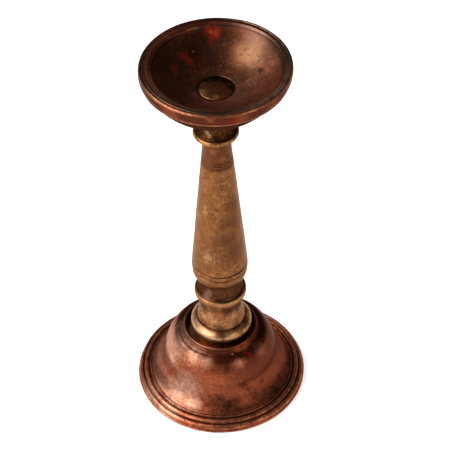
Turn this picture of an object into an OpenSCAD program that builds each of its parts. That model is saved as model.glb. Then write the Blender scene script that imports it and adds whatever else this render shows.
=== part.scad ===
// Standing diya oil lamp: a turned copper bowl and a hollow copper base, with a
// stem of four turned brass pieces between them. A flat-headed rod runs down
// through every piece and a washer and nut under the base draw them together.
// Z = 0 is the surface that the lamp stands on, and Z is its axis.

/* [Base] */
// Radius of the foot rim
base_r = 48; // [44:0.1:54]
// Height of the two-step foot rim below the brim
rim_h = 5; // [4.9:0.1:6.4]
// Radius where the flare of the bell meets the brim
flare_r = 39.8; // [38:0.1:41]
// Radius of the bell where the flare ends and the shoulder starts
shoulder_r = 31.3; // [29:0.1:32]
// Height where the flare ends and the shoulder starts
shoulder_z = 23.5; // [20:0.5:28]
// Radius where the shoulder rounds over to the crown
crest_r = 26.1; // [25:0.1:27]
// Height where the shoulder rounds over to the crown
crest_z = 35.4; // [34:0.1:36]
// Height of the level crown around the raised ring
crown_z = 37.1; // [36.7:0.1:38]
// Height of the raised ring around the stem
seat_z = 41.1; // [40:0.1:43]
// Wall thickness of the base
base_wall = 3; // [2:0.1:4]

/* [Stem] */
// Height of the ledge that the stem stands on
ledge_z = 35.4; // [34.5:0.1:36]
// Largest radius of the foot's round lip
foot_lip_r = 17.05; // [16:0.05:18]
// Radius of the foot's neck
foot_neck_r = 11.9; // [10:0.1:12.5]
// Height of the joint between foot and knop
foot_top_z = 65.6; // [64:0.1:67]
// Largest radius of the knop's lip
knop_r = 14.35; // [13.5:0.05:15.5]
// Height of the joint between knop and column
knop_top_z = 81.9; // [80:0.1:84]
// Largest radius of the column
belly_r = 15.3; // [14:0.1:17]
// Radius of the column's straight top
column_top_r = 7.7; // [7.2:0.1:8.5]
// Height of the joint between column and collar
column_top_z = 183; // [178:0.5:186]
// Largest radius of the collar's lip
collar_r = 11.85; // [10.5:0.05:13]

/* [Bowl] */
// Height of the bowl's bottom, where the collar meets it
bowl_bottom_z = 199.9; // [198:0.1:201]
// Height of the rim, which is the height of the lamp
lamp_h = 227.5; // [226:0.1:229]
// Largest radius of the band around the rim
bowl_r = 38; // [37.5:0.1:40]
// Radius of the mouth of the oil cavity
mouth_r = 32.5; // [30:0.1:33.5]
// Depth of the oil cavity below the straight edge of its mouth
cavity_depth = 13.8; // [11.5:0.1:14.2]

/* [Tie rod] */
// Diameter of the rod
rod_d = 8; // [6:0.5:8]
// Diameter of the rod's flat head
head_d = 17; // [15:0.1:17.5]
// Clearance around the rod in its bores
rod_gap = 0.2; // [0.1:0.05:0.3]
// Across flats of the nut
nut_af = 14; // [12:0.5:16]

/* [Hidden] */
$fn = 128;

// Fits between the stacked pieces: a short spigot on one, a socket in the next.
fit_gap = 0.1;
spigot_h = 3;
socket_h = spigot_h + 0.5;
ledge_spigot_r = 8;
foot_spigot_r = 7.5;
knop_spigot_r = 8.6;
collar_spigot_r = 5.4;
bowl_spigot_r = 7.5;
rod_r = rod_d / 2;
bore_r = rod_r + rod_gap;

// Bowl: mouth, hollow of the dish, and the recess for the rod's head
mouth_z = lamp_h - 0.9;
mouth_land = 0.8;
cavity_bottom_z = mouth_z - mouth_land - cavity_depth;
cavity_sphere_r = (mouth_r * mouth_r + cavity_depth * cavity_depth) / (2 * cavity_depth);
seal_w = 0.62;
seal_h = 1.15;
recess_r = head_d / 2 + seal_w;
recess_z = cavity_bottom_z - 1.1;
band_h = 5.4;
under_r = 24.4;
under_z = lamp_h - 21;
bowl_seat_r = 12.7;

// Rod head
head_top_z = cavity_bottom_z + 1.2;
head_crown = 0.5;
head_round = 0.4;

// Base rim, from its edge inward: edge, bead, groove, ridge, groove, ruled line
rim_w = 3.4;
edge_round = 1.9;
edge_top_z = rim_h - 2.7;
bead_r = base_r - 0.6;
bead_w = 2;
ridge_r = bead_r - bead_w - 0.9;
ridge_w = 2.2;
line_r = ridge_r - ridge_w - 1.3;
line_w = 0.35;
line_z = rim_h + 1.6;
brim_z = rim_h + 2;

// Base crown: raised ring, ledge under the foot, and the hardware below it
shoulder_bulge_r = 24.5;
seat_edge_r = 20;
seat_round = 0.5;
recess_wall_r = 18.7;
ledge_t = 4;
ceiling_z = ledge_z - ledge_t;
ceiling_r = 19.5;
washer_r = 10;
washer_t = 1.6;
nut_h = 6;
nut_top_z = ceiling_z - washer_t;
rod_end_z = nut_top_z - nut_h - 3;
rod_chamfer = 0.8;

// Points along a circular arc, from one angle to another.
function arc(cx, cz, r, from, to, n = 10) =
    [for (i = [0:n]) let (a = from + (to - from) * i / n) [cx + r * cos(a), cz + r * sin(a)]];

// Points along a cubic curve that leaves p and reaches q with the handles given.
function bend(p, hp, hq, q, n = 14) =
    [for (i = [0:n]) let (t = i / n, u = 1 - t)
        u * u * u * p + 3 * u * u * t * hp + 3 * u * t * t * hq + t * t * t * q];

// Arc of radius r that bulges away from the axis on its way up from p to q.
function angle_of(p, c) = atan2(p[1] - c[1], p[0] - c[0]);
function bulge(p, q, r, n = 16) =
    let (d = q - p,
         c = (p + q) / 2 + sqrt(r * r - d * d / 4) * [-d[1], d[0]] / norm(d))
        arc(c[0], c[1], r, angle_of(p, c), angle_of(q, c), n);

module lathe(points) {
    rotate_extrude() polygon(points);
}

// A round groove cut into a turned surface.
module groove(r, z, width) {
    rotate_extrude() translate([r, z]) circle(d = width, $fn = 24);
}

/* Bowl: a heavy turned dish with a banded rim, a ruled lip and a bevelled mouth. */
module oil_bowl() {
    lip_round = 1.3;
    bevel_round = 0.4;
    bevel_r = mouth_r + 1.6;
    line_d = 0.7;
    lip_line_d = 0.8;
    socket_r = bowl_spigot_r + fit_gap;
    band_top = [bowl_r - 0.02, lamp_h - lip_round - 0.2];
    band_foot = [bowl_r - 0.5, lamp_h - band_h];
    step_r = bowl_r - 2.7;
    under = [under_r, under_z];
    under_end = [step_r - 0.7, lamp_h - 9.6];
    cavity_centre_z = cavity_bottom_z + cavity_sphere_r;
    mouth_angle = asin(mouth_r / cavity_sphere_r);
    recess_angle = asin(recess_r / cavity_sphere_r);
    outline = concat(
        // seat on the collar and the underside of the dish
        [[socket_r, bowl_bottom_z]],
        bend([bowl_seat_r + 0.5, bowl_bottom_z], [18.3, bowl_bottom_z + 0.2],
             [22.2, under_z - 1.9], under),
        bend(under, [27.9, under_z + 2.6], [31.1, under_z + 6.4], under_end, 16),
        // step, fillet and foot of the band
        [[step_r, lamp_h - 8.9], [step_r + 0.5, lamp_h - 7.9]],
        arc(step_r + 0.9, lamp_h - 6.8, 0.75, -80, 20, 5),
        [[step_r + 1.6, lamp_h - 5.9], band_foot],
        // slightly barrelled band, rounded over at the lip
        bend(band_foot, [bowl_r + 0.1, lamp_h - 4], [bowl_r + 0.1, lamp_h - 2.6], band_top, 8),
        arc(bowl_r - lip_round, lamp_h - lip_round, lip_round, 0, 90, 6),
        // bevel down to the straight edge of the mouth
        arc(bevel_r, lamp_h - bevel_round - 0.1, bevel_round, 90, 130, 4),
        [[mouth_r + 0.15, mouth_z]],
        // hollow of the dish
        arc(0, cavity_centre_z, cavity_sphere_r, mouth_angle - 90, recess_angle - 90, 40),
        // recess for the rod's head, bore, and socket for the collar
        [[recess_r, recess_z], [bore_r, recess_z], [bore_r, bowl_bottom_z + socket_h],
         [socket_r, bowl_bottom_z + socket_h]]);
    color([0.45, 0.2, 0.13]) difference() {
        lathe(outline);
        groove(bowl_r - 1.9, lamp_h, lip_line_d);
        groove(step_r - 0.3, lamp_h - 9.1, line_d);
    }
}

/* Soft-solder ring that seals the gap between the rod's head and the bowl. */
module bowl_seal_ring() {
    color([0.2, 0.17, 0.13]) translate([0, 0, recess_z]) difference() {
        cylinder(r = recess_r, h = seal_h);
        translate([0, 0, -1]) cylinder(r = head_d / 2, h = seal_h + 2);
    }
}

/* Rod with a flat, slightly crowned head that sits in the bottom of the bowl. */
module tie_rod() {
    head_r = head_d / 2;
    head_edge_z = head_top_z - head_crown;
    outline = concat(
        [[0, rod_end_z], [rod_r - rod_chamfer, rod_end_z], [rod_r, rod_end_z + rod_chamfer],
         [rod_r, recess_z], [head_r, recess_z]],
        arc(head_r - head_round, head_edge_z - head_round, head_round, 0, 80, 4),
        bend([head_r - 0.5, head_edge_z], [head_r - 3, head_top_z - 0.1],
             [2, head_top_z], [0, head_top_z], 8));
    color([0.5, 0.33, 0.14]) lathe(outline);
}

/* Collar: a round lip below a hollow neck that widens into the bowl's seat. */
module stem_collar() {
    joint_r = 9.6;
    neck_r = 8.5;
    lip_z = column_top_z + 1.9;
    neck_z = lip_z + 7;
    outline = concat(
        [[bore_r, column_top_z - spigot_h], [collar_spigot_r, column_top_z - spigot_h],
         [collar_spigot_r, column_top_z]],
        // round lip
        bend([joint_r, column_top_z], [collar_r - 0.65, column_top_z + 0.2],
             [collar_r, lip_z - 1], [collar_r, lip_z], 8),
        bend([collar_r, lip_z], [collar_r, lip_z + 0.9], [collar_r - 0.45, lip_z + 1.5],
             [collar_r - 0.9, lip_z + 1.6], 6),
        [[collar_r - 1.25, lip_z + 1.45]],
        // hollow neck, widening to the bowl's seat
        bend([collar_r - 1.4, lip_z + 1.75], [neck_r + 0.5, lip_z + 3.1],
             [neck_r, neck_z - 2], [neck_r, neck_z]),
        bend([neck_r, neck_z], [neck_r, neck_z + 3.5], [neck_r + 1.3, bowl_bottom_z - 1.6],
             [bowl_seat_r - 0.3, bowl_bottom_z - 1.1], 10),
        [[bowl_seat_r, bowl_bottom_z - 0.8], [bowl_seat_r, bowl_bottom_z],
         [bowl_spigot_r, bowl_bottom_z], [bowl_spigot_r, bowl_bottom_z + spigot_h],
         [bore_r, bowl_bottom_z + spigot_h]]);
    color([0.62, 0.42, 0.2]) lathe(outline);
}

/* Column: a long taper on a full belly, cored from below, with ruled lines. */
module stem_column() {
    joint_r = 12.6;
    belly_z = knop_top_z + 8.3;
    belly_line_z = belly_z + 2.1;
    taper_drop = 9;
    taper_start = [belly_r - 0.7, belly_z + 9.3];
    taper_end = [column_top_r, column_top_z - taper_drop];
    taper = (taper_start[0] - taper_end[0]) / (taper_end[1] - taper_start[1]);
    top_neck_r = column_top_r - 0.15;
    core_top_z = column_top_z - 26;
    core_foot_z = knop_top_z + 14;
    core_foot_r = knop_spigot_r + fit_gap;
    socket_r = collar_spigot_r + fit_gap;
    outline = concat(
        [[core_foot_r, knop_top_z]],
        // round shoulder up to the belly
        bend([joint_r, knop_top_z], [joint_r + 1.5, knop_top_z + 0.4],
             [belly_r - 0.3, knop_top_z + 2.3], [belly_r - 0.15, knop_top_z + 5.4], 12),
        bend([belly_r - 0.15, knop_top_z + 5.4], [belly_r, belly_z - 0.9], [belly_r, belly_z + 0.9],
             [belly_r - 0.15, belly_z + 2.9], 8),
        bend([belly_r - 0.15, belly_z + 2.9], [belly_r - 0.3, belly_z + 4.9],
             [belly_r - 0.5, belly_z + 7.1], taper_start, 6),
        // long, faintly bowed taper and the straight neck at its top
        bend(taper_start, [12.3, column_top_z - 58.9], [9.95, column_top_z - 34], taper_end, 16),
        bend(taper_end, [column_top_r - 0.1, column_top_z - 7.4],
             [top_neck_r, column_top_z - 5.6], [top_neck_r, column_top_z - 3.6], 6),
        [[column_top_r, column_top_z - 0.4], [column_top_r, column_top_z],
         // socket for the collar, bore, and the cored inside
         [socket_r, column_top_z], [socket_r, column_top_z - socket_h],
         [bore_r, column_top_z - socket_h], [bore_r, core_top_z], [core_foot_r, core_foot_z]]);
    color([0.55, 0.37, 0.22]) difference() {
        lathe(outline);
        groove(belly_r + 0.1, belly_line_z, 1.3);
        groove(belly_r, belly_line_z - 3.2, 0.8);
        for (drop = [13.9, 15.5, 17.6])
            groove(column_top_r + taper * (drop - taper_drop) + 0.1, column_top_z - drop, 0.7);
    }
}

/* Knop: a thin round lip with a hollow dish rising from it to the column. */
module stem_knop() {
    joint_r = 12.9;
    waist = 11.3;
    top_r = 12.2;
    lip_z = foot_top_z + 3.1;
    waist_z = lip_z + 8;
    socket_r = foot_spigot_r + fit_gap;
    outline = concat(
        [[socket_r, foot_top_z]],
        // round lip
        bend([joint_r, foot_top_z], [joint_r + 0.9, foot_top_z + 0.6],
             [knop_r, lip_z - 1.1], [knop_r, lip_z], 8),
        bend([knop_r, lip_z], [knop_r, lip_z + 1.2], [knop_r - 0.15, lip_z + 2],
             [knop_r - 0.6, lip_z + 2.2], 6),
        [[knop_r - 1, lip_z + 2.05]],
        // dish rising to the column
        bend([knop_r - 1.15, lip_z + 2.3], [waist + 0.7, lip_z + 3.4],
             [waist, waist_z - 2.6], [waist, waist_z]),
        bend([waist, waist_z], [waist, waist_z + 2.4], [waist + 0.3, knop_top_z - 0.9],
             [top_r, knop_top_z - 0.4], 8),
        [[top_r, knop_top_z], [knop_spigot_r, knop_top_z],
         [knop_spigot_r, knop_top_z + spigot_h], [bore_r, knop_top_z + spigot_h],
         [bore_r, foot_top_z + socket_h], [socket_r, foot_top_z + socket_h]]);
    color([0.35, 0.2, 0.11]) lathe(outline);
}

/* Foot: a waisted bell on a heavy round lip that overhangs the ledge. */
module stem_foot() {
    stand_r = 14.9;
    step_r = 13.5;
    joint_r = 12.7;
    lip_foot_z = ledge_z + 5.7;
    lip_low_z = ledge_z + 7.3;
    lip_high_z = ledge_z + 8.9;
    step_z = ledge_z + 12.8;
    neck_z = step_z + 7.7;
    outline = concat(
        [[bore_r, ledge_z - spigot_h], [ledge_spigot_r, ledge_z - spigot_h],
         [ledge_spigot_r, ledge_z], [stand_r, ledge_z]],
        // heavy lip: rounded below, upright at its widest, sloping in above
        bend([stand_r, lip_foot_z], [foot_lip_r - 0.9, lip_foot_z],
             [foot_lip_r, lip_low_z - 1.1], [foot_lip_r, lip_low_z], 10),
        bend([foot_lip_r, lip_high_z], [foot_lip_r, lip_high_z + 1.6],
             [step_r + 2.1, step_z - 1], [step_r + 0.4, step_z - 0.1], 12),
        [[step_r + 0.1, step_z - 0.35]],
        // waisted bell above it
        bend([step_r - 0.1, step_z + 0.1], [step_r, step_z + 2.4],
             [foot_neck_r + 0.4, step_z + 3.9], [foot_neck_r, neck_z], 12),
        bend([foot_neck_r, neck_z], [foot_neck_r - 0.15, foot_top_z - 6.2],
             [foot_neck_r + 0.2, foot_top_z - 3.4], [joint_r, foot_top_z - 0.5], 12),
        [[joint_r, foot_top_z], [foot_spigot_r, foot_top_z],
         [foot_spigot_r, foot_top_z + spigot_h], [bore_r, foot_top_z + spigot_h]]);
    color([0.72, 0.52, 0.25]) lathe(outline);
}

/* Base: a bell-shaped shell with a beaded rim and a raised ring at the crown. */
module base_bell() {
    shoulder = [shoulder_r, shoulder_z];
    crest = [crest_r, crest_z];
    crown = [seat_edge_r + 2.9, crown_z];
    cove_r = seat_edge_r + 1.1;
    cove_top_z = seat_z - 1.9;
    bead_in_r = bead_r - bead_w;
    ridge_in_r = ridge_r - ridge_w;
    inner_rim_r = base_r - rim_w;
    inner_brim_z = brim_z - base_wall;
    inner_shoulder = shoulder + [-base_wall, -1];
    socket_r = ledge_spigot_r + fit_gap;
    outline = concat(
        // foot rim: flat underside, rounded corner, narrow step
        [[inner_rim_r, 0]],
        arc(base_r - edge_round, edge_round, edge_round, -90, 0, 6),
        [[base_r, edge_top_z - 0.3], [base_r - 0.25, edge_top_z]],
        // round bead and the groove behind it
        bend([bead_r, edge_top_z + 0.3], [bead_r + 0.05, rim_h - 0.8], [bead_r - 1, rim_h + 0.25],
             [bead_in_r, rim_h + 0.1], 10),
        [[bead_in_r - 0.25, rim_h - 0.15], [ridge_r + 0.25, rim_h - 0.2], [ridge_r, rim_h + 0.3]],
        // broad ridge, groove, ruled line
        bend([ridge_r - 0.05, rim_h + 0.5], [ridge_r - 0.4, rim_h + 1.5],
             [ridge_r - 1.5, rim_h + 1.7], [ridge_in_r, rim_h + 1.5], 8),
        [[ridge_in_r - 0.25, rim_h + 1.15], [line_r + 0.3, rim_h + 1.05], [line_r, line_z]],
        arc(line_r - line_w, line_z, line_w, 0, 150, 5),
        [[flare_r + 0.1, line_z]],
        // flare and shoulder of the bell
        bend([flare_r, brim_z], [flare_r - 3.2, brim_z + 1.3],
             shoulder + [0.6, -10], shoulder, 24),
        bulge(shoulder, crest, shoulder_bulge_r),
        // crown and the cove around the raised ring
        bend(crest, crest + [-0.85, 1.05], crown + [1.3, 0], crown, 8),
        bend(crown, crown + [-0.9, 0], [cove_r + 0.15, crown_z + 0.8], [cove_r, cove_top_z], 8),
        // stepped side of the raised ring, and the recess around the foot
        [[cove_r - 0.15, cove_top_z + 0.15], [seat_edge_r + 0.65, cove_top_z + 0.4]],
        arc(seat_edge_r, seat_z - seat_round, seat_round, 20, 160, 6),
        [[recess_wall_r, seat_z - 2.4], [recess_wall_r, ledge_z],
         [socket_r, ledge_z], [socket_r, ceiling_z]],
        // inside of the shell
        bend([ceiling_r, ceiling_z], [ceiling_r + 4, ceiling_z],
             inner_shoulder + [-0.7, 4.5], inner_shoulder, 12),
        bend(inner_shoulder, inner_shoulder + [0.5, -9.6], [flare_r - 6.6, inner_brim_z + 1.6],
             [flare_r - 1.2, inner_brim_z - 0.1], 16),
        [[inner_rim_r - 0.8, inner_brim_z - 0.6], [inner_rim_r, 2.6]]);
    color([0.62, 0.3, 0.2]) lathe(outline);
}

/* Washer under the ledge of the base. */
module rod_washer() {
    color([0.5, 0.42, 0.3]) translate([0, 0, nut_top_z]) difference() {
        cylinder(r = washer_r, h = washer_t);
        translate([0, 0, -1]) cylinder(r = bore_r, h = washer_t + 2);
    }
}

/* Square nut on the end of the rod, with its corners turned off. */
module rod_nut() {
    color([0.4, 0.33, 0.24]) translate([0, 0, nut_top_z - nut_h]) difference() {
        intersection() {
            translate([-nut_af / 2, -nut_af / 2, 0]) cube([nut_af, nut_af, nut_h]);
            cylinder(r = nut_af * 0.63, h = nut_h);
            translate([0, 0, -2]) cylinder(r1 = nut_af * 0.43, r2 = nut_af * 0.95, h = nut_h + 2);
        }
        translate([0, 0, -1]) cylinder(r = rod_r, h = nut_h + 2);
    }
}

oil_bowl();
bowl_seal_ring();
tie_rod();
stem_collar();
stem_column();
stem_knop();
stem_foot();
base_bell();
rod_washer();
rod_nut();
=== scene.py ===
"""The looks of a standing diya oil lamp: aged copper and brass, turned by hand.

Each turned piece of the CAD model is turned again here from its own outline, with many more
facets, rounded edges, dents and pits, and it stands for its CAD node. Lengths in this script
are in millimetres unless a comment says otherwise; Blender's own are in metres.
"""

import math

import bmesh
import bpy
import numpy as np
from mathutils import Matrix, Vector


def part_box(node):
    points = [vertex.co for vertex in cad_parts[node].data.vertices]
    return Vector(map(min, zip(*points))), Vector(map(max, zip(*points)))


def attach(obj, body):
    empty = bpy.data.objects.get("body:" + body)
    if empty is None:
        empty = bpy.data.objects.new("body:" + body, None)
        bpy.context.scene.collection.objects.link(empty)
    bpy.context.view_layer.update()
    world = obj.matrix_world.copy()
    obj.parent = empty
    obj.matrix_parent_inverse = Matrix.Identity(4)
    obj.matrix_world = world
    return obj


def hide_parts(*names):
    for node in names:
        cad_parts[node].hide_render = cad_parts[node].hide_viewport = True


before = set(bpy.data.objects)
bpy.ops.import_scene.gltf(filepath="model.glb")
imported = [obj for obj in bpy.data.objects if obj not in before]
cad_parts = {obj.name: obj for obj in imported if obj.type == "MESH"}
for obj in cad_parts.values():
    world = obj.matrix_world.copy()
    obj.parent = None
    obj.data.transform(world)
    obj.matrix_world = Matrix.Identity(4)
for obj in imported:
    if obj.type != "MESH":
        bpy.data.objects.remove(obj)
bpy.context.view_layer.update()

MM = 0.001
BODY = "root"


# ---------------------------------------------------------------- outlines

CORNER = math.radians(32)     # a sharper turn than this stays a corner
DENSE = 0.06                  # spacing of the refined outline
SAME_PLACE = 1e-6             # metres: nearer points than this are one
BEND_STEP = 0.2               # stations are this, over the curvature, apart
FINEST_STEP = 0.14            # the smallest spacing of the stations
HIDDEN_STEP = 2.5             # spacing of the stations where nothing is seen
STEP_BLUR = 0.3               # how gradually the spacing changes
EDGE_BLUR = 0.45              # the outline is smoothed this much to find its edges
EDGE_GAIN = 0.9               # how soon a bend counts as a full edge


def section(node):
    """A turned node's outline in the half-plane y = 0: points (radius, height) in order, and
    whether it closes on itself. The metal lies to the left of the way it runs."""
    shape = bmesh.new()
    shape.from_mesh(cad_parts[node].data)
    bmesh.ops.remove_doubles(shape, verts=shape.verts, dist=SAME_PLACE)
    everything = shape.verts[:] + shape.edges[:] + shape.faces[:]
    cut = bmesh.ops.bisect_plane(shape, geom=everything, dist=SAME_PLACE, plane_co=(0, 0, 0),
                                 plane_no=(0, 1, 0))["geom_cut"]
    joined = {}
    for item in cut:
        if isinstance(item, bmesh.types.BMEdge) and min(v.co.x for v in item.verts) > -SAME_PLACE:
            a, b = item.verts
            joined.setdefault(a, []).append(b)
            joined.setdefault(b, []).append(a)
    ends = [v for v, others in joined.items() if len(others) == 1]
    walk = [ends[0] if ends else next(iter(joined))]
    while True:
        onward = [v for v in joined[walk[-1]] if v not in walk[-2:]]
        if not onward or onward[0] is walk[0]:
            break
        walk.append(onward[0])
    points = np.array([(v.co.x, v.co.z) for v in walk]) / MM
    shape.free()
    after = np.roll(points, -1, axis=0)
    if np.sum(points[:, 0] * after[:, 1] - after[:, 0] * points[:, 1]) < 0:
        points = points[::-1]
    return points, not ends


def tangents(way, length, closed):
    """The directions in which a curve leaves and reaches the ends of each straight step. They
    agree from one step to the next, except at a corner."""
    leave, arrive = way.copy(), way.copy()
    count = len(way)
    for i in range(count if closed else count - 1):
        j = (i + 1) % count
        turn = math.acos(float(np.clip(way[i] @ way[j], -1, 1)))
        if turn < CORNER:
            tangent = way[i] * length[j] + way[j] * length[i]
            tangent /= np.hypot(*tangent)
            arrive[i] = tangent
            leave[j] = tangent
    return leave, arrive


def refine(points, closed):
    """A smooth curve through the points that keeps their corners, sampled every DENSE."""
    ring = np.vstack([points, points[:1]]) if closed else points
    step = np.diff(ring, axis=0)
    length = np.hypot(*step.T)
    leave, arrive = tangents(step / length[:, None], length, closed)
    runs = []
    for i in range(len(step)):
        t = np.linspace(0, 1, max(2, int(length[i] / DENSE)), endpoint=False)[:, None]
        start = ring[i] * (2 * t ** 3 - 3 * t ** 2 + 1) + ring[i + 1] * (3 * t ** 2 - 2 * t ** 3)
        bow = leave[i] * (t ** 3 - 2 * t ** 2 + t) + arrive[i] * (t ** 3 - t ** 2)
        runs.append(start + bow * length[i])
    curve = np.vstack(runs + [ring[-1:]])
    along = np.concatenate([[0], np.cumsum(np.hypot(*np.diff(curve, axis=0).T))])
    even = np.linspace(0, along[-1], int(along[-1] / DENSE), endpoint=not closed)
    return np.stack([np.interp(even, along, curve[:, k]) for k in (0, 1)], axis=1)


def soften(values, width, closed):
    """A Gaussian blur along the outline. width is its standard deviation."""
    reach = int(math.ceil(3 * width / DENSE))
    kernel = np.exp(-0.5 * (np.arange(-reach, reach + 1) * DENSE / width) ** 2)
    kernel /= kernel.sum()
    values = np.atleast_2d(values.T).T
    mode = "wrap" if closed else "edge"
    padded = np.pad(values, ((reach, reach), (0, 0)), mode=mode)
    return np.stack([np.convolve(column, kernel, "valid") for column in padded.T], axis=1)


def bend_of(curve, closed):
    """Signed curvature at each point: positive on a proud edge, negative in a hollow."""
    if closed:
        first = (np.roll(curve, -1, axis=0) - np.roll(curve, 1, axis=0)) / (2 * DENSE)
        second = (np.roll(curve, -1, axis=0) - 2 * curve + np.roll(curve, 1, axis=0)) / DENSE ** 2
    else:
        first = np.gradient(curve, DENSE, axis=0)
        second = np.gradient(first, DENSE, axis=0)
    return first[:, 0] * second[:, 1] - first[:, 1] * second[:, 0]


def stations(curve, bend, widest, coarse):
    """Indices into the outline, close together where it bends and far apart where it doesn't
    or where coarse is true."""
    wanted = np.clip(BEND_STEP / (np.abs(bend) + 1e-6), FINEST_STEP, widest)
    wanted = np.where(coarse, HIDDEN_STEP, wanted)
    wanted = soften(wanted, STEP_BLUR, True)[:, 0]
    count = np.cumsum(DENSE / wanted)
    picks = np.searchsorted(count, np.arange(0, count[-1]))
    return np.unique(np.clip(picks, 0, len(curve) - 1))


def worn_outline(node, wear, widest, hidden):
    """A node's outline with its edges rounded by wear, at its stations: the points, the way out
    of the metal, how much of an edge each is (-1 to 1), whether it is seen, and whether the
    outline closes."""
    points, closed = section(node)
    curve = soften(refine(points, closed), wear, closed)
    if not closed:
        curve[[0, -1], 0] = 0
    coarse = hidden(*curve.T) if hidden else np.zeros(len(curve), bool)
    keep = stations(curve, bend_of(curve, closed), widest, coarse)
    bend = bend_of(soften(curve, EDGE_BLUR, closed), closed)
    ahead = np.roll(curve, -1, axis=0) - np.roll(curve, 1, axis=0)
    out = np.stack([ahead[keep, 1], -ahead[keep, 0]], axis=1)
    out /= np.maximum(np.hypot(*out.T), 1e-9)[:, None]
    return curve[keep], out, np.tanh(bend[keep] * EDGE_GAIN), ~coarse[keep], closed


# ---------------------------------------------------------------- turned pieces

WAVE_COUNT = 28               # waves that make up a random field
WAVE_SPREAD = (0.7, 1.5)      # their lengths, against the one asked for
WAVE_HEIGHT = 0.7             # brings their sum to about -1 to 1
BROAD_DENT = 26               # wavelength
SMALL_DENT = 7                # wavelength
SMALL_SHARE = 0.35            # height of the small dents against the broad ones
PIT_SIZE = 0.45               # radius
PIT_DEPTH = 0.16
PIT_SIZES = (0.5, 1.4)        # how much pits vary, against PIT_SIZE
PIT_DEPTHS = (0.4, 1)         # and against PIT_DEPTH
DEEPEST = 1.5                 # overlapping pits go no deeper, against PIT_DEPTH


def waves(seed, wavelength):
    """A smooth random field in space: its value at any array of points, about -1 to 1."""
    rng = np.random.default_rng(seed)
    ways = rng.normal(size=(WAVE_COUNT, 3))
    ways /= np.linalg.norm(ways, axis=1)[:, None]
    ways *= 2 * math.pi / (wavelength * rng.uniform(*WAVE_SPREAD, (WAVE_COUNT, 1)))
    phase = rng.uniform(0, 2 * math.pi, WAVE_COUNT)

    def field(points):
        total = np.sin(points @ ways.T + phase).sum(axis=-1)
        return total * math.sqrt(2 / WAVE_COUNT) * WAVE_HEIGHT
    return field


def pits(points, seed, count):
    """How deep small random pits go at each point of a piece."""
    rng = np.random.default_rng(seed)
    flat = points.reshape(-1, 3)
    total = np.zeros(len(flat))
    for centre in flat[rng.integers(0, len(flat), count)]:
        radius = PIT_SIZE * rng.uniform(*PIT_SIZES)
        near = np.abs(flat[:, 2] - centre[2]) < 3 * radius
        away = ((flat[near] - centre) ** 2).sum(axis=1) / radius ** 2
        total[near] += PIT_DEPTH * rng.uniform(*PIT_DEPTHS) * np.exp(-away)
    return np.minimum(total, PIT_DEPTH * DEEPEST).reshape(points.shape[:-1])


def revolved(outline, out, segments):
    """The points and normals that an outline sweeps, as arrays (station, segment, 3)."""
    angle = np.linspace(0, 2 * math.pi, segments, endpoint=False)
    round_x, round_y = np.cos(angle), np.sin(angle)
    radius, height = outline[:, :1], outline[:, 1:]
    at = np.stack([radius * round_x, radius * round_y, height + 0 * round_x], axis=2)
    normal = np.stack([out[:, :1] * round_x, out[:, :1] * round_y, out[:, 1:] + 0 * round_x], axis=2)
    return at, normal


def grid_mesh(name, at, closed, edge):
    """A smooth mesh over a grid of points that closes round the axis. Each of its points
    carries its edge value, and an outline that ends on the axis is welded there."""
    rows, columns = at.shape[:2]
    grid = np.arange(rows * columns).reshape(rows, columns)
    if closed:
        grid = np.vstack([grid, grid[:1]])
    grid = np.hstack([grid, grid[:, :1]])
    quads = np.stack([grid[:-1, :-1], grid[:-1, 1:], grid[1:, 1:], grid[1:, :-1]], axis=2)
    quads = quads.reshape(-1, 4)
    mesh = bpy.data.meshes.new(name)
    mesh.vertices.add(rows * columns)
    mesh.vertices.foreach_set("co", (at * MM).astype(np.float32).ravel())
    mesh.loops.add(quads.size)
    mesh.loops.foreach_set("vertex_index", quads.astype(np.int32).ravel())
    mesh.polygons.add(len(quads))
    mesh.polygons.foreach_set("loop_start", np.arange(0, quads.size, 4, dtype=np.int32))
    mesh.polygons.foreach_set("use_smooth", np.ones(len(quads), bool))
    mesh.update(calc_edges=True)
    layer = mesh.attributes.new("edge", "FLOAT", "POINT")
    layer.data.foreach_set("value", np.repeat(edge, columns).astype(np.float32))
    if not closed:
        shape = bmesh.new()
        shape.from_mesh(mesh)
        bmesh.ops.remove_doubles(shape, verts=shape.verts, dist=SAME_PLACE / 10)
        shape.to_mesh(mesh)
        shape.free()
    return mesh


def turned(node, material, seed, segments=300, hidden=None, wear=0.12, widest=0.5,
           dent=0.05, pit_count=60, place=None, shift=None):
    """Turns a node's outline again as a fine mesh that stands for it.

    hidden(radius, height) says where the outline can't be seen, so that it stays coarse.
    wear is how far edges are rounded, widest the widest spacing of the outline's stations, and
    dent how far the surface wanders. shift(radius, height) moves part of the outline sideways,
    in x, and place is a matrix for the whole piece."""
    outline, out, edge, seen, closed = worn_outline(node, wear, widest, hidden)
    at, normal = revolved(outline, out, segments)
    push = dent * waves(seed, BROAD_DENT)(at)
    push = push + SMALL_SHARE * dent * waves(seed + 1, SMALL_DENT)(at)
    push -= pits(at, seed + 2, pit_count)
    at = at + normal * (push * seen[:, None])[:, :, None]
    if shift:
        at[:, :, 0] += shift(outline[:, 0], outline[:, 1])[:, None]
    at[:, :, 2] = np.maximum(at[:, :, 2], 0)

    mesh = grid_mesh(node, at, closed, edge)
    if place:
        mesh.transform(place)
    mesh.materials.append(material)
    piece = bpy.data.objects.new("turned_" + node, mesh)
    bpy.context.scene.collection.objects.link(piece)
    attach(piece, BODY)
    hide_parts(node)


# ---------------------------------------------------------------- materials

SPOT_GRAIN = 0.55             # scale of the noise that makes the edges of spots ragged
ZONE_GRAIN = 0.5              # and of the one for zones
SCRATCH_STRETCH = (3.2, 0.22, 3.2)
BUMP_DEPTH = 0.12
BUMP_STRENGTH = 0.45
COAT_ROUGHNESS = 0.32


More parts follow.
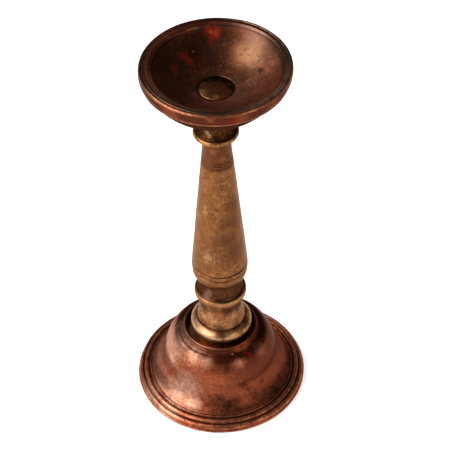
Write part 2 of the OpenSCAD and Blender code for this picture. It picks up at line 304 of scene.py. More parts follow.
class Shader:
    """A material's node tree, built by short calls that return sockets."""

    def __init__(self, name):
        self.material = bpy.data.materials.new(name)
        self.material.use_nodes = True
        self.tree = self.material.node_tree
        self.surface = next(n for n in self.tree.nodes if n.type == "BSDF_PRINCIPLED")
        where = self.add("ShaderNodeTexCoord").outputs["Object"]
        self.mm = self.vector("SCALE", where, scale=1 / MM)
        split = self.add("ShaderNodeSeparateXYZ", self.mm)
        self.x, self.y, self.z = split.outputs
        flat = self.add("ShaderNodeCombineXYZ", self.x, self.y).outputs[0]
        self.radius = self.add("ShaderNodeVectorMath", flat, operation="LENGTH").outputs["Value"]
        around = self.vector("NORMALIZE", flat)
        self.around = self.add("ShaderNodeSeparateXYZ", around).outputs
        self.edge = self.add("ShaderNodeAttribute", attribute_name="edge").outputs["Fac"]

    def add(self, kind, *inputs, **settings):
        """A new node, with its settings and its first inputs."""
        node = self.tree.nodes.new(kind)
        for key, value in settings.items():
            setattr(node, key, value)
        for socket, value in zip(node.inputs, inputs):
            self.put(socket, value)
        return node

    def put(self, socket, value):
        """Links a socket to another one, or gives it a plain value."""
        if isinstance(value, bpy.types.NodeSocket):
            self.tree.links.new(value, socket)
        elif value is not None:
            socket.default_value = value

    def math(self, operation, a, b=None):
        return self.add("ShaderNodeMath", a, b, operation=operation).outputs[0]

    def vector(self, operation, a, b=None, scale=None):
        node = self.add("ShaderNodeVectorMath", a, b, operation=operation)
        if scale is not None:
            node.inputs["Scale"].default_value = scale
        return node.outputs["Vector"]

    def span(self, value, low, high, to_low=0.0, to_high=1.0):
        """value from low to high becomes to_low to to_high, smoothly."""
        node = self.add("ShaderNodeMapRange", value, low, high, to_low, to_high,
                        interpolation_type="SMOOTHSTEP")
        return node.outputs["Result"]

    def noise(self, at, scale, detail, rough, warp=0.0):
        node = self.add("ShaderNodeTexNoise")
        for name, value in (("Vector", at), ("Scale", scale), ("Detail", detail),
                            ("Roughness", rough), ("Distortion", warp)):
            self.put(node.inputs[name], value)
        return node.outputs["Fac"]

    def swing(self, noise, reach):
        """A noise made to swing about zero, by up to half of reach either way."""
        return self.math("MULTIPLY", self.math("SUBTRACT", noise, 0.5), reach)

    def mix(self, factor, a, b):
        """Colour a where factor is 0, colour b where it is 1."""
        node = self.add("ShaderNodeMix", data_type="RGBA")
        for name, value in (("Factor_Float", factor), ("A_Color", a), ("B_Color", b)):
            socket = next(s for s in node.inputs if s.identifier == name)
            self.put(socket, (*value, 1) if isinstance(value, tuple) else value)
        return next(s for s in node.outputs if s.identifier == "Result_Color")

    def blend(self, factor, a, b):
        """Number a where factor is 0, number b where it is 1."""
        node = self.add("ShaderNodeMix", data_type="FLOAT")
        for name, value in (("Factor_Float", factor), ("A_Float", a), ("B_Float", b)):
            self.put(next(s for s in node.inputs if s.identifier == name), value)
        return next(s for s in node.outputs if s.identifier == "Result_Float")

    def lay(self, colour, mask, amount, over):
        """colour with over laid on it where the mask is 1, as thickly as amount says."""
        return self.mix(self.math("MULTIPLY", mask, amount), colour, over)

    def lathe_lines(self, tight, drift):
        """A place that changes fast across the turning lines and slowly along them."""
        across = self.math("MULTIPLY", self.radius, tight)
        along_x = self.math("MULTIPLY", self.around[0], drift)
        along_y = self.math("MULTIPLY", self.around[1], drift)
        up = self.math("MULTIPLY", self.z, tight)
        first = self.math("ADD", across, along_x)
        second = self.math("ADD", up, along_y)
        return self.add("ShaderNodeCombineXYZ", first, second, along_x).outputs[0]

    def spots(self, places, ragged, soft):
        """1 inside any of the places, each ((x, y, z), radius), with a ragged soft edge."""
        wobble = self.swing(self.noise(self.mm, SPOT_GRAIN, 4.0, 0.65), ragged * 2)
        total = None
        for centre, radius in places:
            away = self.add("ShaderNodeVectorMath", self.mm, centre, operation="DISTANCE")
            reach = self.math("DIVIDE", away.outputs["Value"], radius)
            inside = self.span(self.math("ADD", reach, wobble), 1 + soft, 1 - soft)
            total = inside if total is None else self.math("MAXIMUM", total, inside)
        return total

    def zone(self, below=None, above=None, within=None, beyond=None, side=None, soft=0.5):
        """1 in a part of the piece: below and above heights, within and beyond radii, and
        towards side, a direction (x, y), with ragged soft edges."""
        wobble = self.swing(self.noise(self.mm, ZONE_GRAIN, 4.0, 0.65), 4 * soft)
        height = self.math("ADD", self.z, wobble)
        radius = self.math("ADD", self.radius, wobble)
        masks = []
        if below is not None:
            masks.append(self.span(height, below + soft, below - soft))
        if above is not None:
            masks.append(self.span(height, above - soft, above + soft))
        if within is not None:
            masks.append(self.span(radius, within + soft, within - soft))
        if beyond is not None:
            masks.append(self.span(radius, beyond - soft, beyond + soft))
        if side is not None:
            facing = self.math("ADD", self.math("MULTIPLY", self.around[0], side[0]),
                               self.math("MULTIPLY", self.around[1], side[1]))
            masks.append(self.span(facing, -0.1, 0.75))
        total = masks[0]
        for mask in masks[1:]:
            total = self.math("MULTIPLY", total, mask)
        return total

    def scratches(self, turn, seed):
        """Thin short lines that run one way, sparse."""
        way = self.add("ShaderNodeVectorRotate", self.mm, rotation_type="EULER_XYZ")
        way.inputs["Rotation"].default_value = turn
        drawn = self.vector("MULTIPLY", way.outputs[0], SCRATCH_STRETCH)
        drawn = self.vector("ADD", drawn, (seed, 2 * seed, 3 * seed))
        return self.span(self.noise(drawn, 1.0, 2.0, 0.5), 0.68, 0.72)

    def finish(self, colour, roughness, metallic, height, coat, gloss, tint):
        """Wires the surface up. height is what the bump follows."""
        node = self.add("ShaderNodeBump")
        self.put(node.inputs["Height"], height)
        node.inputs["Strength"].default_value = BUMP_STRENGTH
        node.inputs["Distance"].default_value = BUMP_DEPTH * MM
        for name, value in (("Base Color", colour), ("Roughness", roughness),
                            ("Metallic", metallic), ("Normal", node.outputs[0]),
                            ("Coat Weight", coat), ("Coat Roughness", COAT_ROUGHNESS),
                            ("Specular IOR Level", gloss), ("Specular Tint", (*tint, 1))):
            self.put(self.surface.inputs[name], value)
        return self.material


def patch(colour, at, amount=0.8, ragged=0.6, soft=0.45, metal=1.0, rough=0.0, patchy=0.0,
          zone=None):
    """A stain, a worn place, or painted light or shade: its colour, where it is, and what it does to
    the gloss. at is a list of spots, each ((x, y, z), radius), and amount says how thick it is."""
    return dict(colour=colour, at=at, amount=amount, ragged=ragged, soft=soft, metal=metal,
                rough=rough, patchy=patchy, zone=zone)


def area(colour, amount=0.8, patchy=0.0, rough=0.0, metal=1.0, **zone):
    """A part of the piece with a colour laid on it, as Shader.zone bounds it: a colour of the
    thing's own, or painted light or shade.
    """
    return patch(colour, (), amount, rough=rough, metal=metal, patchy=patchy, zone=zone)


def patched(s, patches, mottled, colour, roughness):
    """The colour, roughness and metalness with all the patches laid on, in order."""
    metallic = 1.0
    for item in patches:
        if item["zone"]:
            inside = s.zone(**item["zone"])
        else:
            inside = s.spots(item["at"], item["ragged"], item["soft"])
        inside = s.math("MULTIPLY", inside, item["amount"])
        if item["patchy"]:
            inside = s.math("MULTIPLY", inside, s.span(mottled, 0.36, 0.6, 1 - item["patchy"], 1))
        colour = s.mix(inside, colour, item["colour"])
        roughness = s.math("ADD", roughness, s.math("MULTIPLY", inside, item["rough"]))
        if item["metal"] < 1:
            metallic = s.blend(inside, metallic, item["metal"])
    return colour, roughness, metallic


def aged_metal(name, body, brown, bright, black, rough=(0.32, 0.46), mottle=0.35, tarnish=0.5,
               grain=0.45, lines=0.35, worn=0.8, coat=0.2, gloss=0.3, plain_core=0.0,
               tint=(0.52, 0.46, 0.42), patches=()):
    """Turned metal with a patina: bright on its edges, black in its hollows, mottled between,
    ruled by the lathe, pitted, scratched and stained. Its patches lay on stains and wear, and
    also painted highlights and painted shade. Within the radius plain_core its edges aren't
    worn bright. tint is the colour it reflects at a shallow angle."""
    s = Shader(name)
    broad = s.noise(s.mm, scale=0.08, detail=3.0, rough=0.6, warp=0.6)
    mottled = s.noise(s.mm, scale=0.33, detail=5.0, rough=0.68, warp=0.8)
    fine = s.noise(s.mm, scale=1.25, detail=4.0, rough=0.66)
    grit = s.noise(s.mm, scale=2.7, detail=2.0, rough=0.6)
    turning = s.noise(s.lathe_lines(tight=2.2, drift=0.9), scale=1.0, detail=4.0, rough=0.7)
    fine_turning = s.noise(s.lathe_lines(tight=5.0, drift=1.6), scale=1.0, detail=2.0, rough=0.6)
    pitted = s.span(s.noise(s.mm, scale=1.25, detail=2.0, rough=0.5), 0.69, 0.76)
    scratched = s.math("MAXIMUM", s.scratches(turn=(0.5, 0.3, 0.9), seed=3.0),
                       s.scratches(turn=(1.3, 0.8, 2.2), seed=7.0))

    # each layer: a noise, where it starts and where it is full, how thick it is, its colour
    layers = (
        (mottled, 0.5, 0.7, mottle, bright),
        (mottled, 0.5, 0.3, tarnish, black),
        (turning, 0.44, 0.66, lines, brown),
        (fine, 0.54, 0.7, grain, bright),
        (fine, 0.46, 0.3, grain, black),
        (grit, 0.55, 0.7, 0.8 * grain, bright),
        (grit, 0.45, 0.3, 0.8 * grain, black))
    colour = s.mix(s.span(broad, 0.38, 0.64), body, brown)
    for noise, start, full, amount, over in layers:
        colour = s.lay(colour, s.span(noise, start, full), amount, over)
    colour = s.lay(colour, scratched, 0.45, bright)

    rubbed = s.span(s.math("ADD", s.edge, s.swing(mottled, 1.7)), 0.12, 0.75)
    if plain_core:
        rubbed = s.math("MULTIPLY", rubbed, s.span(s.radius, plain_core - 0.5, plain_core + 0.5))
    dirty = s.span(s.math("SUBTRACT", s.edge, s.swing(fine, 0.5)), -0.1, -0.62)
    colour = s.lay(colour, rubbed, worn, bright)
    colour = s.lay(colour, dirty, 0.9, black)

    roughness = s.blend(s.span(fine, 0.3, 0.7), *rough)
    roughness = s.math("ADD", roughness, s.math("MULTIPLY", dirty, 0.2))
    colour, roughness, metallic = patched(s, patches, mottled, colour, roughness)
    colour = s.lay(colour, pitted, 0.75, black)

    # how far each texture stands up, against BUMP_DEPTH
    height = s.math("MULTIPLY", turning, 0.5)
    for texture, share in ((fine_turning, 0.2), (fine, 0.45)):
        height = s.math("ADD", height, s.math("MULTIPLY", texture, share))
    height = s.math("SUBTRACT", height, s.math("MULTIPLY", pitted, 0.8))
    return s.finish(colour, roughness, metallic, height, coat, gloss, tint)


# ---------------------------------------------------------------- each piece's metal

RED = (0.24, 0.012, 0.006)
DEEP_RED = (0.15, 0.008, 0.005)
ORANGE = (0.40, 0.085, 0.02)
PINK = (0.42, 0.10, 0.07)
SPECK = (0.62, 0.36, 0.24)
# near-black: soot and dark drops, and painted shade at the rod's head
SOOT_AND_SHADE = (0.014, 0.006, 0.003)

BOWL_AREAS = (
    # the hollow's right front, lighter: painted light
    area((0.6, 0.24, 0.13), amount=0.75, patchy=0.6, within=33.5, above=210, side=(0.75, -0.66),
         soft=0.8),
    # the hollow's front, lighter: painted light
    area((0.7, 0.28, 0.18), amount=0.75, patchy=0.6, within=33.5, above=210, side=(-0.1, -0.99),
         soft=0.8),
    # the bevel's left back, red-brown, lighter as a painted reflection
    area((0.55, 0.075, 0.024), amount=0.85, patchy=0.5, beyond=32.6, within=36.4, above=226,
         side=(-0.8, 0.6)),
    # the lip's left, lighter: painted light
    area((0.3, 0.2, 0.12), amount=0.7, patchy=0.6, beyond=33.4, within=36.3, above=226,
         side=(-0.95, -0.3)),
    # the lip's left front, dark
    area((0.06, 0.03, 0.02), amount=0.9, patchy=0.2, beyond=34.5, within=37.1, above=226.6,
         side=(-0.6, -0.8), soft=0.2),
    # the lip's right, lighter: painted light
    area((0.5, 0.3, 0.18), amount=0.9, patchy=0.5, beyond=33.6, within=37, above=226,
         side=(0.99, 0.05)),
    # the inner bevel's right back
    area((0.1, 0.048, 0.035), patchy=0.4, beyond=32.4, within=34.9, above=222, side=(0.6, 0.8),
         soft=0.3),
    # the lip's right back, dark
    area((0.05, 0.017, 0.01), amount=0.9, patchy=0.5, beyond=34.6, above=225, side=(0.45, 0.9),
         soft=0.3),
    # the band round the rim
    area((0.072, 0.0155, 0.008), amount=1.0, patchy=0.3, beyond=36.6, below=226.2, above=221,
         soft=0.3),
    # the underside, darker and without gloss: painted shade
    area((0.046, 0.015, 0.007), amount=1.0, rough=0.4, metal=0.0, beyond=28.5, below=219.8,
         soft=0.25),
    # the bottom, on the collar, darker and without gloss: painted shade
    area((0.055, 0.019, 0.009), amount=1.0, rough=0.4, metal=0.0, below=210.5),
    # painted shade in the recess round the rod's head
    area((0.06, 0.035, 0.014), amount=0.7, patchy=0.3, within=10.3, above=208, soft=0.2),
)
# stains, with painted highlights and painted shade among them
BOWL_STAINS_AND_PAINTED_LIGHT = (
    # orange-brown marks on the band
    patch((0.2, 0.05, 0.018), (((-22, -30, 224), 4), ((12, -36, 224), 3), ((27, -26, 224), 3.5),
          ((-3, -37.6, 225), 2)), amount=0.7, ragged=1.3, soft=0.7),
    # red marks on the band
    patch((0.16, 0.012, 0.008), (((8, -37, 223), 2.4), ((34, -14, 225), 3),
          ((1, -37.6, 222), 1.6)), amount=0.7, ragged=1.4, soft=0.7),
    # the dark left of the hollow
    patch((0.034, 0.007, 0.003), (((-25, 9, 221), 13), ((-20, -6, 217), 11), ((-13, 20, 219), 9)),
          amount=0.72, soft=0.8, patchy=0.4),
    # a painted pinkish halo round the painted highlight
    patch((0.12, 0.055, 0.045), (((20, 24, 224), 5), ((26.5, 16, 224), 5)), amount=0.6,
          ragged=1.2, soft=0.9, patchy=0.5),
    # a painted golden highlight
    patch((0.15, 0.088, 0.046), (((17.5, 17.5, 219.5), 7.5),), ragged=0.8, soft=0.9, patchy=0.4),
    # dark flecks in it
    patch((0.07, 0.022, 0.01), (((15.7, 21.1, 220.3), 1), ((21, 15, 220.5), 0.8),
          ((19, 19, 221), 0.7), ((13, 19, 218.3), 0.8)), amount=0.6, ragged=1.8, soft=0.6),
    # shade on the back wall
    patch((0.07, 0.02, 0.01), (((8, 29, 223.5), 6), ((-5, 27, 222), 6), ((2, 20, 217), 6)),
          amount=0.75, ragged=0.9, soft=0.9, patchy=0.3),
    # shade on the floor behind the rod's head
    patch((0.08, 0.022, 0.01), (((3.5, 15.9, 215), 5), ((13, 9, 214), 5)), amount=0.6, ragged=0.9,
          soft=0.9),
)
BOWL_PIGMENT = (
    # the large mark at the back: its body,
    patch(DEEP_RED, (((-1, 30, 223.6), 3.5), ((-1.9, 27, 221), 1.6)), ragged=0.9, soft=0.5,
          metal=0.4, rough=0.2, patchy=0.4),
    # its bright red,
    patch(RED, (((-2.6, 31, 224.8), 2.1), ((1.2, 30.6, 224.2), 2.3), ((-1.1, 29, 222.5), 1.7)),
          amount=0.9, ragged=0.9, soft=0.35, metal=0.3, rough=0.25, patchy=0.45),
    # and its orange middle
    patch(ORANGE, (((0.6, 30.1, 223.6), 1.3), ((-1.4, 30.6, 224), 1)), amount=0.55, ragged=1.4,
          soft=0.8, metal=0.3, rough=0.2, patchy=0.4),
    # the marks on the left
    patch(DEEP_RED, (((-15.8, 18, 219), 2.6), ((-12.6, 15.9, 216.8), 2.1),
          ((-20.3, 9.2, 218), 2.1), ((-19.3, 6.6, 217), 1.4)), amount=0.9, ragged=1.4, soft=0.5,
          metal=0.4, rough=0.2, patchy=0.35),
    # the pink marks on the right
    patch(PINK, (((28.1, 6.2, 222.1), 1.7), ((25.6, 4.9, 219.9), 1.1)), amount=0.75, ragged=1.5,
          soft=0.6, metal=0.6, rough=0.1, patchy=0.5),
    # round dark drops,
    patch(SOOT_AND_SHADE, (((-10.8, 21.2, 218.8), 1.9), ((-14, 6.7, 214.8), 1.1),
          ((22.2, 6.6, 218.2), 1.5)), ragged=0.5, soft=0.6),
    # their pale centres,
    patch((0.3, 0.08, 0.05), (((-10.8, 21.4, 218.9), 0.9), ((-14, 6.7, 214.8), 0.5),
          ((22.2, 6.6, 218.2), 0.45)), amount=0.65, ragged=0.4, soft=0.6, metal=0.6),
    # and pale specks
    patch(SPECK, (((2.8, 14.9, 214.6), 0.26), ((-5.3, 11, 213.7), 0.24), ((9.1, 1.3, 213), 0.26),
          ((9.8, 7.6, 213.6), 0.3), ((-12.9, 18.6, 218.2), 0.26)), ragged=0.5, soft=0.4,
          metal=0.8),
)
COPPER_BOWL = aged_metal(
    "aged_copper_bowl", body=(0.17, 0.046, 0.02), brown=(0.115, 0.034, 0.016),
    bright=(0.46, 0.18, 0.095), black=(0.03, 0.011, 0.006), mottle=0.3, lines=0.55, coat=0.0,
    rough=(0.28, 0.42), gloss=0.0, plain_core=12, tint=(0.6, 0.56, 0.55), grain=0.55,
    patches=BOWL_AREAS + BOWL_STAINS_AND_PAINTED_LIGHT + BOWL_PIGMENT)

BASE_AREAS = (
    # the recess round the foot
    area((0.065, 0.014, 0.005), amount=0.95, patchy=0.25, within=26.8, above=34.5, below=40.7,
         soft=0.25),
    # its floor next to the foot, lighter: painted light in the recess
    area((0.34, 0.15, 0.06), amount=0.85, patchy=0.4, within=18.3, above=34.5, below=40.4,
         soft=0.25),
    # the top of the raised ring
    area((0.1, 0.035, 0.02), amount=0.6, patchy=0.2, above=40.6, within=26, soft=0.2),
    # the right shoulder, darker: painted shade
    area((0.072, 0.014, 0.006), amount=0.75, patchy=0.35, above=20, within=40, side=(0.95, -0.15),
         soft=0.8),
    # the right flare, darker: painted shade
    area((0.16, 0.03, 0.012), amount=0.5, patchy=0.5, above=9, below=20, within=40,
         side=(0.9, -0.3), soft=0.8),
    # the bottom edge, darker and duller: painted contact shadow
    area((0.08, 0.035, 0.02), amount=0.85, patchy=0.2, rough=0.4, metal=0.2, below=1.7,
         beyond=45.5, soft=0.2),
    # the left flare, paler: painted light
    area((0.4, 0.19, 0.13), amount=0.5, patchy=0.6, below=14, within=41, beyond=33,
         side=(-0.95, 0.3)),
)
# stains, with painted highlights among them
BASE_STAINS_AND_PAINTED_LIGHT = (
    # painted highlight on the left front flare
    patch((0.5, 0.31, 0.22), (((-20, -25.5, 17), 7), ((-26, -24, 10.5), 6), ((-18, -33, 9.5), 4)),
          amount=0.7, ragged=0.9, soft=0.9, patchy=0.6),
    # painted highlight on the left front shoulder
    patch((0.6, 0.32, 0.21), (((-16.5, -19.5, 35.5), 5), ((-23, -12, 35), 6),
          ((-9, -24.5, 34.5), 3)), amount=0.6, ragged=0.8, soft=0.9, patchy=0.6),
    # painted light on the left wall
    patch((0.7, 0.38, 0.26), (((-27.5, -3, 28), 8.5), ((-30, 5, 26), 6), ((-27, -12, 26), 5)),
          amount=0.9, ragged=0.9, soft=0.9, patchy=0.4),
    # painted highlights on the front shoulder
    patch((0.5, 0.18, 0.1), (((9, -25.5, 34), 3), ((20.8, -15.8, 34.6), 3.6)), amount=0.6,
          ragged=1.4, soft=0.9, patchy=0.7),
    # dark marks on the shoulder
    patch((0.045, 0.013, 0.006), (((22, -3, 37), 5), ((-23.5, -4, 37), 3.5),
          ((14, -19.5, 36.8), 3), ((2, -27.5, 32), 2)), amount=0.6, ragged=1.3, soft=0.9,
          patchy=0.4),
    # soot on the wall and the flare
    patch(SOOT_AND_SHADE, (((11.3, -29.4, 20), 2.6), ((14, -29.5, 16), 1.8), ((16.9, -30.5, 11.5), 2.8),
          ((-2.1, -33.3, 14.4), 2.4), ((2.9, -35.7, 10.1), 2.8), ((29.5, -24, 8), 2.4),
          ((33, -16, 11), 2.2), ((22, -24, 16), 1.2), ((7, -34, 11), 1.6)), amount=0.75,
          ragged=2.0, soft=0.8, patchy=0.6),
    # painted highlight on the left front bead
    patch((0.66, 0.36, 0.23), (((-33, -33, 5), 7), ((-41, -21, 5), 6)), amount=0.65, ragged=0.7,
          soft=0.9, patchy=0.5),
    # brown round the red marks
    patch((0.3, 0.1, 0.04), (((12.6, -16.8, 39), 3), ((9, -19.2, 39), 2)), amount=0.6, ragged=1.6,
          soft=0.5, metal=0.8),
    # red pigment
    patch(RED, (((10.8, -17.3, 39.6), 1.7), ((8.4, -19.2, 38.9), 1.2), ((13.8, -15, 39.8), 1.3),
          ((15, -20, 36.4), 1.5), ((12.4, -21, 37.4), 0.9)), amount=0.75, ragged=3.0, soft=0.7,
          metal=0.6, rough=0.1),
    # a pale speck
    patch(SPECK, (((5.5, -21.5, 37.2), 0.5),), amount=0.7, soft=0.5, metal=0.7),
)
COPPER_BASE = aged_metal(
    "aged_copper_base", body=(0.26, 0.056, 0.021), brown=(0.19, 0.04, 0.016),
    bright=(0.6, 0.21, 0.11), black=(0.045, 0.014, 0.007), mottle=0.35, lines=0.5, grain=0.58,
    coat=0.0, gloss=0.0, tint=(0.6, 0.56, 0.55), patches=BASE_AREAS + BASE_STAINS_AND_PAINTED_LIGHT)

FOOT_PLACES = (
    # the round lip
    area((0.56, 0.25, 0.095), patchy=0.4, beyond=14.4, above=42, below=47.6, soft=0.4),
    # its paler left: painted highlight
    area((0.56, 0.34, 0.2), patchy=0.5, beyond=14.4, above=42, below=47.6, side=(-0.9, -0.45),
         soft=0.4),
    # pale marks on the neck
    patch((0.68, 0.38, 0.18), (((-6.1, -10.2, 57), 2.4), ((-4.4, -12, 54.4), 2)), amount=0.5,
          ragged=1.8, soft=0.8, patchy=0.5),
    # the neck's right, darker: painted shade
    area((0.12, 0.035, 0.011), amount=0.35, patchy=0.5, above=48.5, side=(0.6, -0.8)),
    # an orange spot
    patch((0.36, 0.1, 0.022), (((-0.8, -11.9, 59.4), 2.2),), ragged=1.2, soft=0.8),
    # dark marks on the neck; the three high ones, under the knop's lip, are painted shadow
    patch((0.06, 0.017, 0.006), (((-10.3, -6.5, 61.8), 2.8), ((3.8, -11.5, 62.2), 3.4),
          ((9.6, -7.2, 62.2), 3.6), ((8.3, -10.4, 50), 2.6), ((-0.9, -13.2, 49.6), 2.4),
          ((-10, -9, 49.8), 2.2), ((-4, -12.6, 51.2), 0.9)), amount=0.85, ragged=1.3, soft=0.8),
    # dark marks on the lip
    patch((0.14, 0.035, 0.01), (((-0.5, -15.2, 47), 2.6), ((0.6, -16.8, 44.4), 1.8),
          ((13.8, -6.8, 47.1), 3), ((11, -12.6, 44.5), 1.4)), amount=0.85, ragged=1.3, soft=0.7,
          patchy=0.2),
)
FOOT_BRASS = aged_metal(
    "mottled_yellow_brass", body=(0.38, 0.13, 0.036), brown=(0.2, 0.06, 0.018),
    bright=(0.8, 0.47, 0.22), black=(0.055, 0.016, 0.005), mottle=0.75, tarnish=0.9,
    patches=FOOT_PLACES)

COLUMN_PLACES = (
    # dark mottling right of the front
    patch((0.07, 0.02, 0.007), (((6.8, -9.6, 129.2), 6), ((4.5, -12, 118.3), 6),
          ((7.1, -11.7, 108.9), 7), ((9, -8, 140), 5)), amount=0.7, ragged=1.3, soft=0.9),
    # the dark top
    area((0.08, 0.019, 0.006), amount=0.9, patchy=0.5, above=164, below=182, soft=1.0),
    # orange marks on it
    patch((0.3, 0.095, 0.027), (((-2, -8, 177), 1.4), ((3, -8, 172), 1.2)), amount=0.6,
          ragged=1.8, soft=0.8),
    # a pale scuff low on the left
    patch((0.5, 0.3, 0.17), (((-5.8, -12.8, 105.9), 2.4),), amount=0.75, ragged=2.2, soft=0.5,
          patchy=0.8),
    # a pale dot
    patch((0.45, 0.27, 0.16), (((-7.1, -8.4, 138.8), 0.6),), amount=0.6, ragged=1.8, soft=0.5),
)
COLUMN_BRASS = aged_metal(
    "brown_satin_brass", body=(0.21, 0.074, 0.019), brown=(0.155, 0.052, 0.014),
    bright=(0.44, 0.2, 0.075), black=(0.05, 0.015, 0.005), mottle=0.55, tarnish=0.6, lines=0.35,
    grain=0.6, coat=0.1, tint=(0.85, 0.72, 0.62), patches=COLUMN_PLACES)

KNOP_PLACES = (
    # the lip, worn
    area((0.42, 0.19, 0.075), amount=0.85, patchy=0.55, beyond=13.3, above=66.3, below=71.0,
         soft=0.3),
    # a painted mauve highlight on the dish
    patch((0.3, 0.16, 0.12), (((-7.3, -9.1, 73.8), 2), ((-6.2, -9.8, 76), 1.4)), amount=0.4,
          ragged=1.4, soft=0.9),
)
KNOP_BRASS = aged_metal(
    "dark_brass", body=(0.07, 0.019, 0.007), brown=(0.05, 0.013, 0.005),
    bright=(0.5, 0.24, 0.095), black=(0.018, 0.006, 0.003), mottle=0.18, grain=0.25, worn=0.9,
    coat=0.05, patches=KNOP_PLACES)

COLLAR_PLACES = (
    # the lip, worn
    area((0.36, 0.15, 0.055), amount=0.6, patchy=0.6, beyond=10.4, below=186.4, soft=0.3),
    # a painted pale highlight on the neck
    patch((0.4, 0.22, 0.14), (((-5.4, -6.8, 191.4), 1.1), ((-4.6, -7.4, 190.2), 1.1),
          ((-3.6, -8.2, 189), 0.9)), amount=0.55, ragged=1.2, soft=0.7),
)
COLLAR_BRASS = aged_metal(
    "collar_brass", body=(0.05, 0.014, 0.004), brown=(0.035, 0.009, 0.003),
    bright=(0.56, 0.26, 0.09), black=(0.02, 0.008, 0.004), mottle=0.15, grain=0.2, worn=0.9,
    coat=0.0, tint=(0.45, 0.4, 0.36), patches=COLLAR_PLACES)

ROD_PLACES = (
    # the maroon stain
    patch((0.165, 0.045, 0.024), (((1.8, 0.1, 213), 6.4),), amount=0.85, ragged=0.7, soft=0.5),
    # painted shade along its far and right edges, in the crevice
    patch(SOOT_AND_SHADE, (((0, 7.6, 213), 3), ((5, 6, 213), 2.8), ((7.8, 1, 213), 2.2),
          ((-4.5, 7, 213), 2)), amount=0.85, ragged=0.8, soft=0.7),
    # painted highlight: golden on its left and near edges
    patch((0.5, 0.22, 0.075), (((-6.2, -2.8, 213), 1.9), ((0.5, -6.9, 213), 1.3)), amount=0.75,
          ragged=1.2, soft=0.7),
)
ROD_BRASS = aged_metal(
    "rod_head_brass", body=(0.19, 0.065, 0.02), brown=(0.13, 0.04, 0.013),
    bright=(0.42, 0.19, 0.06), black=(0.02, 0.008, 0.004), tarnish=0.7, worn=0.3, coat=0.05,
    patches=ROD_PLACES)

HARDWARE = aged_metal(
    "dull_hardware_brass", body=(0.3, 0.17, 0.07), brown=(0.18, 0.1, 0.04),
    bright=(0.6, 0.42, 0.22), black=(0.03, 0.016, 0.009))

SOLDER = aged_metal(
    "blackened_solder", body=(0.04, 0.024, 0.012), brown=(0.028, 0.016, 0.008),
    bright=(0.16, 0.11, 0.06), black=(0.012, 0.007, 0.004), rough=(0.45, 0.65), worn=0.3)


# ---------------------------------------------------------------- the lamp

bowl_low, bowl_high = (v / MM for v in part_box("oil_bowl"))

CUP_SHIFT = 1.2               # how far the bowl's hollow sits off its rim's centre
UNDER_SHIFT = 0.5             # how far its underside sits off it, the other way
MOUTH = (34.6, 1.5)           # radius where the hollow begins, and the width it begins over
CUP_FLOOR = (9, 10)           # the same for the floor round the rod's head, which stays put
CUP_BOTTOM = 10               # the hollow lies higher than this above the bowl's lowest point
UNDER_TOP = (219.5, 2)        # height where the underside begins, and over what height
UNDER_FOOT = (201, 3)         # the same for the foot that stands on the collar and stays put
SHELL_HEIGHT = 205            # a cone inside the bowl's wall, at the axis,
SHELL_SLOPE = 0.45            # and how it climbs outward: it parts underside from hollow


def cavity_off_centre(radius, height):
    """How far each point of the bowl's outline moves in x: the hollow one way, the underside
    the other."""
    below = height < SHELL_HEIGHT + SHELL_SLOPE * radius
    in_hollow = (height > bowl_low.z + CUP_BOTTOM) * ~below
    inside = np.clip((MOUTH[0] - radius) / MOUTH[1], 0, 1) * in_hollow
    off_floor = np.clip((radius - CUP_FLOOR[0]) / CUP_FLOOR[1], 0, 1)
    under = np.clip((UNDER_TOP[0] - height) / UNDER_TOP[1], 0, 1)
    under = under * np.clip((height - UNDER_FOOT[0]) / UNDER_FOOT[1], 0, 1) * below
    return CUP_SHIFT * inside * off_floor - UNDER_SHIFT * under


def core(radius, low=-math.inf, high=math.inf):
    """The part of an outline that can't be seen: nearer the axis than radius, and between the
    heights low and high."""
    return lambda r, z: (r < radius) & (z > low) & (z < high)


def nudged(x, y=0.0, forward=0.0, sideways=0.0, pivot_z=0.0):
    """A piece set slightly off the axis, and leaning by a fraction of a degree about a point at
    pivot_z, as on a hand-made lamp. forward lowers its front (-Y), sideways its right (+X)."""
    pivot = Matrix.Translation((0, 0, pivot_z * MM))
    lean = Matrix.Rotation(math.radians(forward), 4, "X")
    lean = lean @ Matrix.Rotation(math.radians(sideways), 4, "Y")
    leaning = pivot @ lean @ pivot.inverted()
    return Matrix.Translation((x * MM, y * MM, 0)) @ leaning


turned("oil_bowl", COPPER_BOWL, seed=11, segments=340,
       hidden=core(9.5, high=bowl_high.z - 16), shift=cavity_off_centre,
       place=nudged(0.2, forward=0.4, sideways=-0.5, pivot_z=bowl_high.z))
turned("bowl_seal_ring", SOLDER, segments=160, wear=0.1, seed=21, pit_count=10)
turned("tie_rod", ROD_BRASS, segments=120, seed=31,
       hidden=core(4.3, low=22, high=bowl_high.z - 17))
turned("stem_collar", COLLAR_BRASS, hidden=core(7.9), seed=41, place=nudged(-0.35))
turned("stem_column", COLUMN_BRASS, hidden=core(7.2), seed=51, widest=0.7,
       place=nudged(-0.1))
turned("stem_knop", KNOP_BRASS, hidden=core(9), seed=61, place=nudged(-0.1))
turned("stem_foot", FOOT_BRASS, hidden=core(8.4), seed=71, place=nudged(-0.05))
turned("base_bell", COPPER_BASE, segments=360, seed=81, dent=0.07,
       pit_count=160, place=nudged(-0.8, -0.4))

for node in ("rod_washer", "rod_nut"):
    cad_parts[node].data.materials.clear()
    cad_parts[node].data.materials.append(HARDWARE)


# ---------------------------------------------------------------- floor, light, camera
# Lengths are in metres from here on.

FLOOR_HALF = 4
FLOOR_DROP = 0.0001           # just under the foot, so that the two don't share a plane
LAMP_MIDDLE = Vector((0, 0, 0.11))
WORLD_LIGHT = 0.14


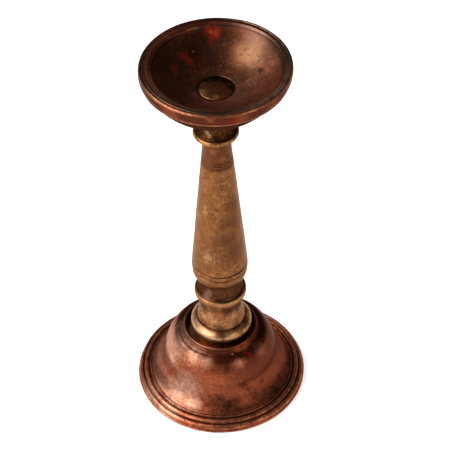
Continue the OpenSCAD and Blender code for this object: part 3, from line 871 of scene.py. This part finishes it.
def plain(name, colour, rough, glow):
    """A dull one-colour material that also gives off a little white light."""
    material = bpy.data.materials.new(name)
    material.use_nodes = True
    surface = material.node_tree.nodes["Principled BSDF"]
    surface.inputs["Base Color"].default_value = (*colour, 1)
    surface.inputs["Roughness"].default_value = rough
    surface.inputs["Emission Color"].default_value = (1, 1, 1, 1)
    surface.inputs["Emission Strength"].default_value = glow
    return material


corners = [(x * FLOOR_HALF, y * FLOOR_HALF, 0) for x, y in ((-1, -1), (1, -1), (1, 1), (-1, 1))]
floor_mesh = bpy.data.meshes.new("floor")
floor_mesh.from_pydata(corners, [], [(0, 1, 2, 3)])
floor_mesh.materials.append(plain("pale_floor", colour=(0.9, 0.9, 0.9), rough=0.9, glow=0.7))
floor = bpy.data.objects.new("floor", floor_mesh)
floor.location.z = -FLOOR_DROP
bpy.context.scene.collection.objects.link(floor)


def soft_light(name, toward, distance, size, watts):
    """A square area light in direction toward, turned to face the lamp."""
    data = bpy.data.lights.new(name, "AREA")
    data.shape = "SQUARE"
    data.size = size
    data.energy = watts
    light = bpy.data.objects.new(name, data)
    light.location = LAMP_MIDDLE + Vector(toward).normalized() * distance
    light.rotation_euler = (LAMP_MIDDLE - light.location).to_track_quat("-Z", "Y").to_euler()
    bpy.context.scene.collection.objects.link(light)


soft_light("key_high", toward=(-0.54, 0.08, 0.84), distance=1.25, size=0.6, watts=6.5)
soft_light("key_low", toward=(-0.76, -0.46, 0.46), distance=1.25, size=1.0, watts=14)
soft_light("fill", toward=(0.62, -0.72, 0.32), distance=1.6, size=0.5, watts=3)

world = bpy.data.worlds.new("studio")
world.use_nodes = True
world.node_tree.nodes["Background"].inputs["Color"].default_value = (1, 1, 1, 1)
world.node_tree.nodes["Background"].inputs["Strength"].default_value = WORLD_LIGHT
bpy.context.scene.world = world
bpy.context.scene.view_settings.view_transform = "Standard"

CAMERA_AT = (0, -0.6277, 0.7409)
LENS = 132.7                  # focal length in millimetres
PITCH = math.radians(44.794)  # how far the camera looks down
YAW = math.radians(-0.29)
ROLL = math.radians(-1.273)
camera_data = bpy.data.cameras.new("camera")
camera_data.lens = LENS
camera = bpy.data.objects.new("camera", camera_data)
ahead = Vector((-math.sin(YAW) * math.cos(PITCH), math.cos(YAW) * math.cos(PITCH), -math.sin(PITCH)))
level = Vector((math.cos(YAW), math.sin(YAW), 0))
upright = level.cross(ahead)
right = level * math.cos(ROLL) + upright * math.sin(ROLL)
up = upright * math.cos(ROLL) - level * math.sin(ROLL)
camera.matrix_world = Matrix((right, up, -ahead)).transposed().to_4x4()
camera.location = CAMERA_AT
bpy.context.scene.collection.objects.link(camera)
bpy.context.scene.camera = camera
